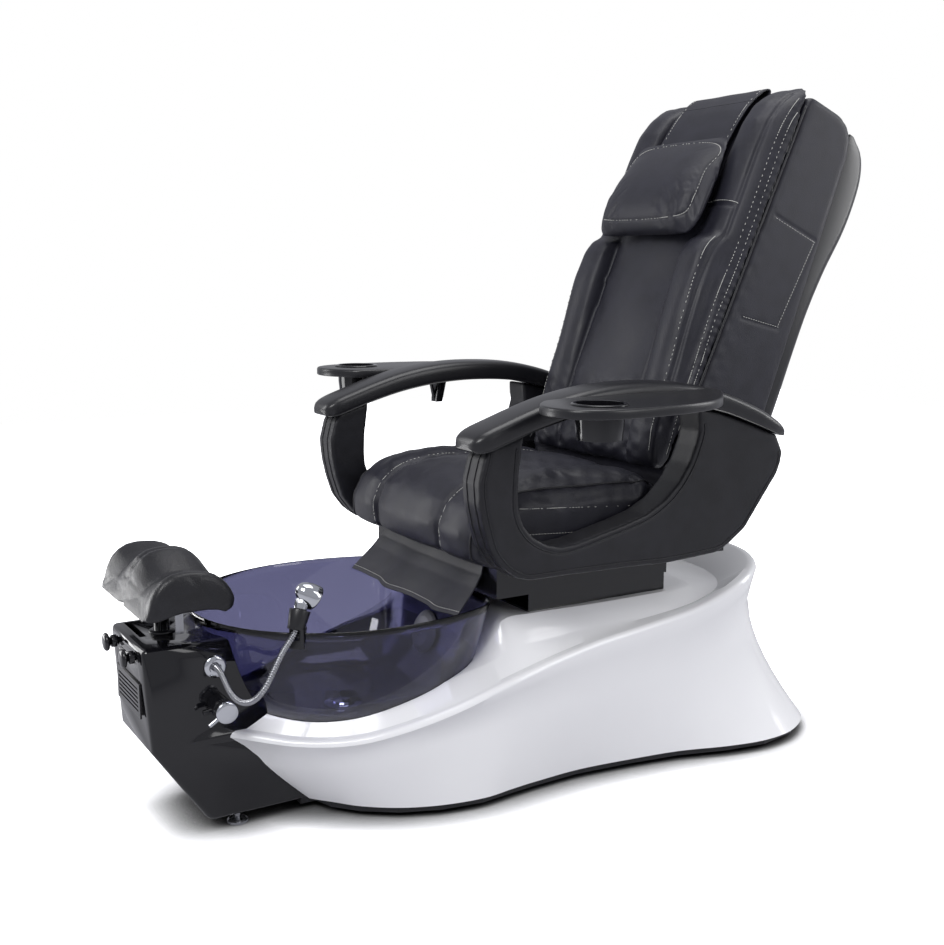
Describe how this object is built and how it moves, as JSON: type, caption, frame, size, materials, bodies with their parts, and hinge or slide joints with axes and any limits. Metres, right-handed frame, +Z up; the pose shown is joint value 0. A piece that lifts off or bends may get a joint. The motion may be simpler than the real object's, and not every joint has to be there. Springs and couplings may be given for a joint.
{
  "type": "pedicure spa chair",
  "caption": "Reclining massage armchair on rails over a white moulded base with a tinted foot basin, black tap console, footrest, hand spray, side trays and head pillow.",
  "frame": {"origin": "centre of the footprint's bounding box on the floor, under the levelling feet", "axes": "+Z up, -Y forwards over the footrest, +X to the sitter's left"},
  "size_m": [1.0746, 1.578, 1.3575],
  "materials": {
    "white_gelcoat": "gloss white gelcoat",
    "black_gloss": "gloss black",
    "black_satin": "satin black",
    "black_steel": "black powder coat",
    "steel": "brushed",
    "chrome": "polished",
    "tinted_clear": "polished, smoke tint",
    "grey_plastic": "satin grey",
    "leather": "soft grained black",
    "panel_vinyl": "smooth black vinyl",
    "moulded_foam": "grained black skin"
  },
  "bodies": {
    "base": {"base_shell": "white_gelcoat", "base_pan": "black_satin", "levelling_foot_front_left": "steel", "levelling_foot_front_right": "steel", "levelling_foot_rear_left": "steel", "levelling_foot_rear_right": "steel", "underframe": "black_steel", "console_shell": "black_gloss", "console_grille": "black_satin", "post_sleeve": "black_satin", "height_bushing": "black_gloss", "drain_bushing": "black_gloss", "basin": "tinted_clear", "basin_drain": "chrome", "waste_pipe": "grey_plastic", "jet_housing": "grey_plastic", "jet_cover": "grey_plastic", "hose_flange": "chrome", "spray_holder": "black_satin", "mixer_body": "black_gloss", "rail_box": "black_steel", "slide_actuator": "steel", "spray_hose": "steel"},
    "footrest_column": {"footrest_post": "black_steel"},
    "footrest": {"footrest_plate": "steel", "footrest_pad": "moulded_foam", "footrest_bracket": "steel"},
    "height_knob": {"height_knob": "black_gloss"},
    "drain_knob": {"drain_knob": "black_gloss"},
    "stopper": {"drain_stopper": "chrome"},
    "mixer_control": {"mixer_knob": "chrome"},
    "impeller": {"jet_impeller": "black_satin"},
    "hand_spray": {"spray_head": "chrome", "spray_handle": "chrome"},
    "seat": {"seat_frame": "black_steel", "seat_cushion": "leather", "seat_apron": "leather", "slide_rod": "chrome", "recline_actuator": "steel"},
    "back": {"back_frame": "black_steel", "back_pad": "leather", "back_body": "leather", "back_shell": "black_satin", "pillow_strap": "leather"},
    "recline_rod": {"recline_rod": "chrome"},
    "carriage": {"massage_carriage": "black_satin"},
    "rollers": {"massage_rollers": "grey_plastic"},
    "pillow": {"head_pillow": "leather", "pillow_flap": "leather"},
    "left_arm": {"left_arm_top": "black_satin", "left_arm_panel": "panel_vinyl", "left_tray_bracket": "black_steel"},
    "right_arm": {"right_arm_top": "black_satin", "right_arm_panel": "panel_vinyl", "right_tray_bracket": "black_steel"},
    "left_tray": {"left_tray": "black_satin", "left_cup_holder": "black_gloss"},
    "right_tray": {"right_tray": "black_satin", "right_cup_holder": "black_gloss"}
  },
  "joints": [
    {"name": "footrest_height", "type": "slide", "parent": "base", "child": "footrest_column", "axis": [0, 0, 1], "range_m": [0, 0.08]},
    {"name": "footrest_tilt", "type": "hinge", "parent": "footrest_column", "child": "footrest", "pos_m": [0, -0.697, 0.4], "axis": [1, 0, 0], "range_deg": [-10, 10]},
    {"name": "height_knob_press", "type": "slide", "parent": "base", "child": "height_knob", "axis": [0, -1, 0], "range_m": [0, 0.008], "stiffness_N_per_m": 300},
    {"name": "drain_knob_pull", "type": "slide", "parent": "base", "child": "drain_knob", "axis": [0, -1, 0], "range_m": [0, 0.02]},
    {"name": "stopper_lift", "type": "slide", "parent": "base", "child": "stopper", "axis": [0, 0, 1], "range_m": [0, 0.01]},
    {"name": "mixer_turn", "type": "hinge", "parent": "base", "child": "mixer_control", "pos_m": [0.1, -0.635, 0.237], "axis": [1, 0, 0], "range_deg": [-60, 60]},
    {"name": "impeller_spin", "type": "hinge", "parent": "base", "child": "impeller", "pos_m": [-0.015, -0.154, 0.262], "axis": [0, -0.9521, 0.3057], "continuous": true},
    {"name": "spray_lift", "type": "slide", "parent": "base", "child": "hand_spray", "axis": [-0.1904, 0.3457, 0.9188], "range_m": [0, 0.1]},
    {"name": "seat_slide", "type": "slide", "parent": "base", "child": "seat", "axis": [0, 1, 0], "range_m": [-0.08, 0.03]},
    {"name": "back_recline", "type": "hinge", "parent": "seat", "child": "back", "pos_m": [0, 0.298, 0.475], "axis": [-1, 0, 0], "range_deg": [-5, 25]},
    {"name": "recline_drive", "type": "slide", "parent": "seat", "child": "recline_rod", "axis": [0, 1, 0], "range_m": [-0.026, 0.006]},
    {"name": "carriage_travel", "type": "slide", "parent": "back", "child": "carriage", "axis": [0, 0.3665, 0.9304], "range_m": [-0.15, 0.15]},
    {"name": "rollers_spin", "type": "hinge", "parent": "carriage", "child": "rollers", "pos_m": [0, 0.4425, 0.9018], "axis": [1, 0, 0], "continuous": true},
    {"name": "pillow_flip", "type": "hinge", "parent": "back", "child": "pillow", "pos_m": [0, 0.5618, 1.3318], "axis": [-1, 0, 0], "range_deg": [0, 120]},
    {"name": "left_arm_lift", "type": "hinge", "parent": "seat", "child": "left_arm", "pos_m": [0.257, 0.353, 0.56], "axis": [-1, 0, 0], "range_deg": [0, 60]},
    {"name": "right_arm_lift", "type": "hinge", "parent": "seat", "child": "right_arm", "pos_m": [-0.257, 0.353, 0.56], "axis": [-1, 0, 0], "range_deg": [0, 60]},
    {"name": "left_tray_fold", "type": "hinge", "parent": "left_arm", "child": "left_tray", "pos_m": [0.346, 0.053, 0.765], "axis": [0, -1, 0], "range_deg": [0, 90]},
    {"name": "right_tray_fold", "type": "hinge", "parent": "right_arm", "child": "right_tray", "pos_m": [-0.346, 0.053, 0.765], "axis": [0, 1, 0], "range_deg": [0, 90]}
  ],
  "couplings": [
    {"joint": "stopper_lift", "follows": "drain_knob_pull", "ratio": 0.5},
    {"joint": "recline_drive", "follows": "back_recline", "m_per_rad": -0.055}
  ]
}
